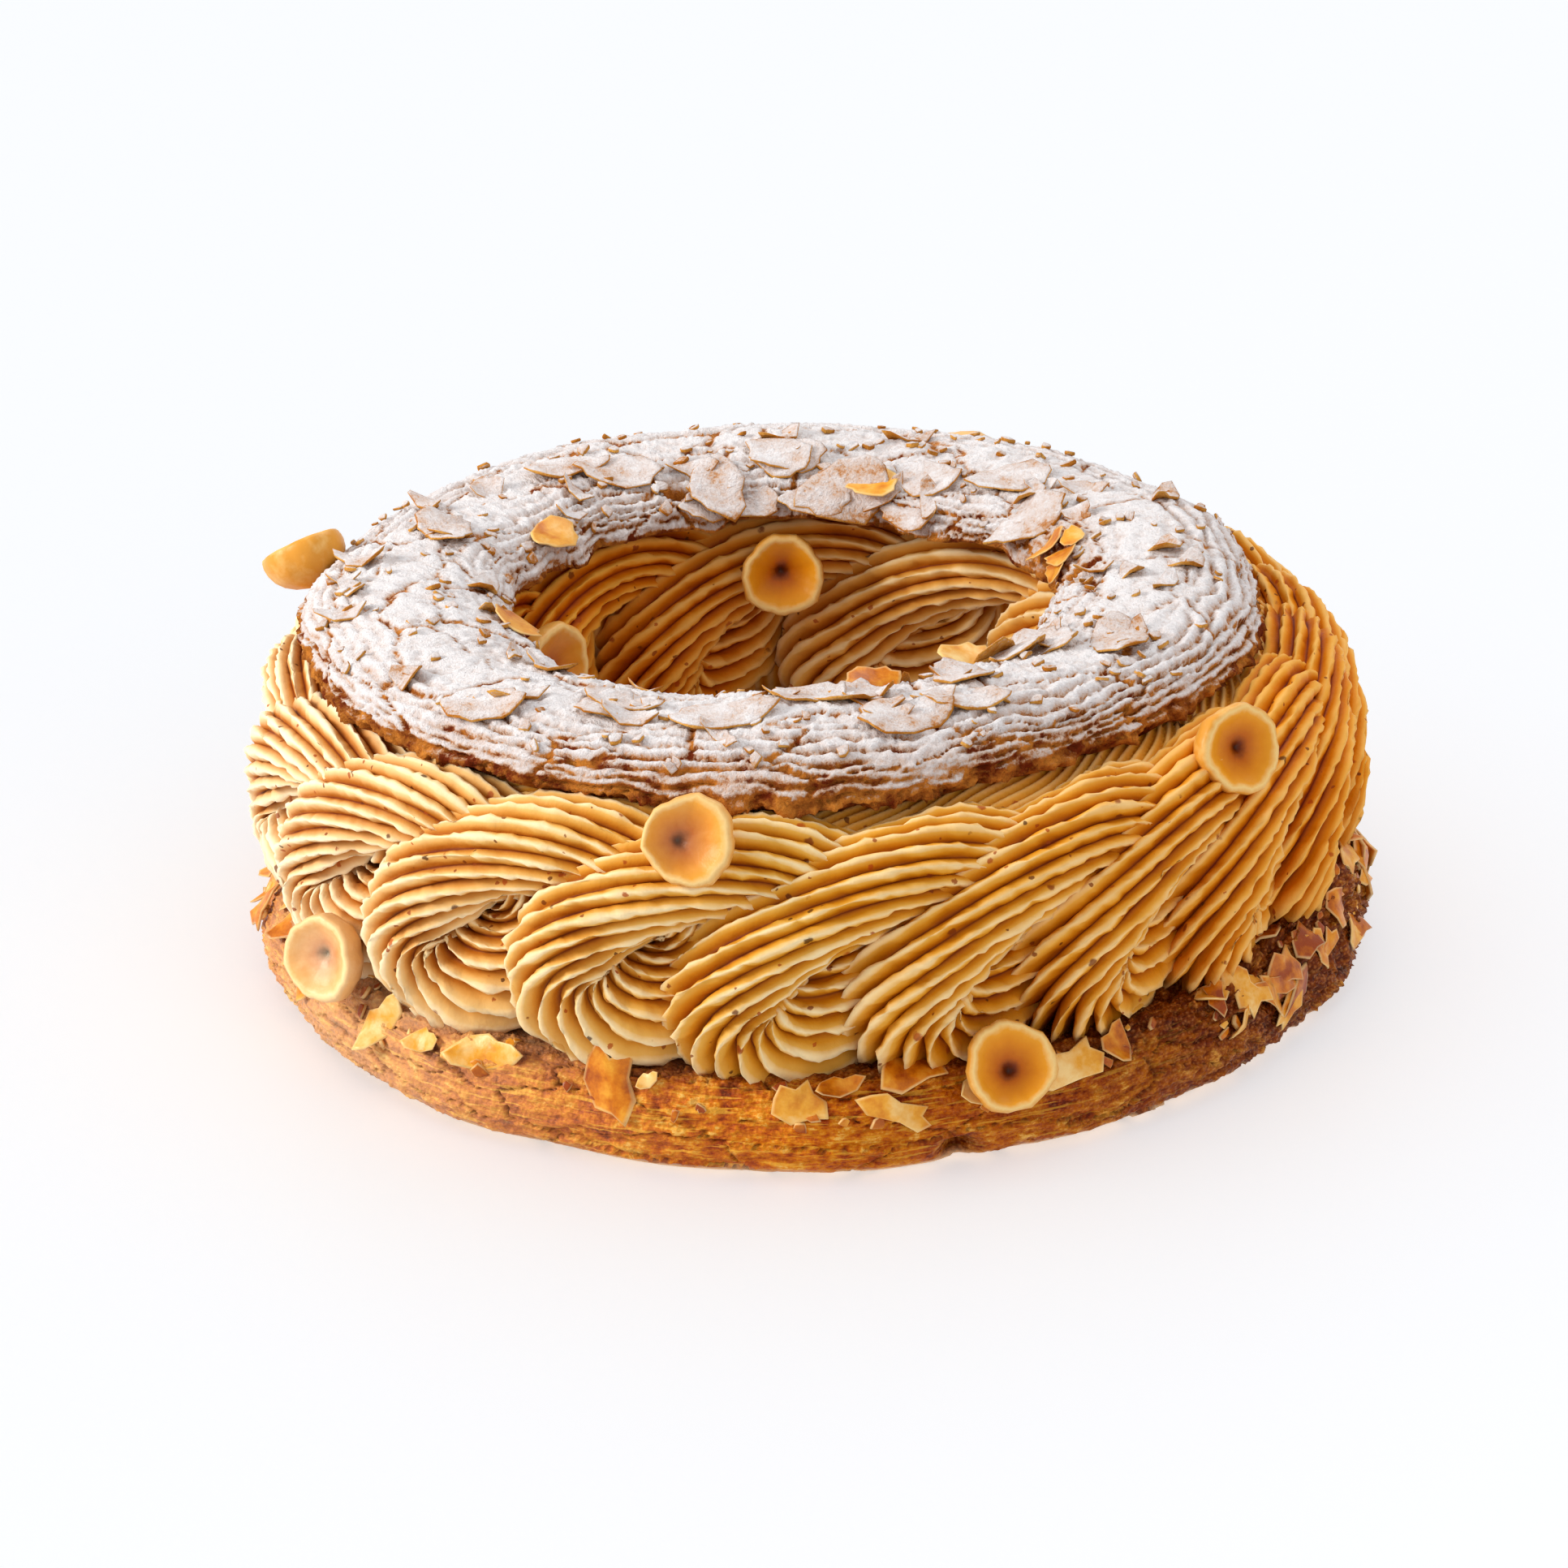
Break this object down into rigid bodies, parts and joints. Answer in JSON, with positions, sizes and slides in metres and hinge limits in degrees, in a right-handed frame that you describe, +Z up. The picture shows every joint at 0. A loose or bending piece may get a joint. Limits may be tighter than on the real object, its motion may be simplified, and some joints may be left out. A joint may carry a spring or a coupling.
{
  "type": "paris brest pastry",
  "caption": "Ring of choux pastry split level, with loops of ridged praline cream piped outside and inside, hazelnut halves, flaked almonds and icing sugar.",
  "frame": {"origin": "on the table, under the middle of the ring's overall box", "axes": "+Z up out of the pastry, -Y towards the front, where one hazelnut half sits under the lid and one on the bottom crust, +X to the right as seen from the front"},
  "size_m": [0.1793, 0.1808, 0.0667],
  "materials": {
    "baked_choux": "dry baked crust, golden brown with cracks",
    "praline_cream": "soft satin cream, ridged by the nozzle, specked with praline",
    "sugared_choux": "baked crust under flaked almonds and icing sugar",
    "hazelnut": "cut nut flesh, pale, with a browner middle",
    "almond": "toasted flaked almond, waxy"
  },
  "bodies": {
    "root": {"base_crust": "baked_choux", "cream": "praline_cream", "lid_crust": "sugared_choux", "hazelnut_01": "hazelnut", "hazelnut_02": "hazelnut", "hazelnut_03": "hazelnut", "hazelnut_04": "hazelnut", "hazelnut_05": "hazelnut", "hazelnut_06": "hazelnut", "hazelnut_07": "hazelnut", "hazelnut_08": "hazelnut", "hazelnut_09": "hazelnut", "hazelnut_10": "hazelnut", "hazelnut_11": "hazelnut", "hazelnut_12": "hazelnut", "hazelnut_13": "hazelnut"}
  },
  "joints": []
}
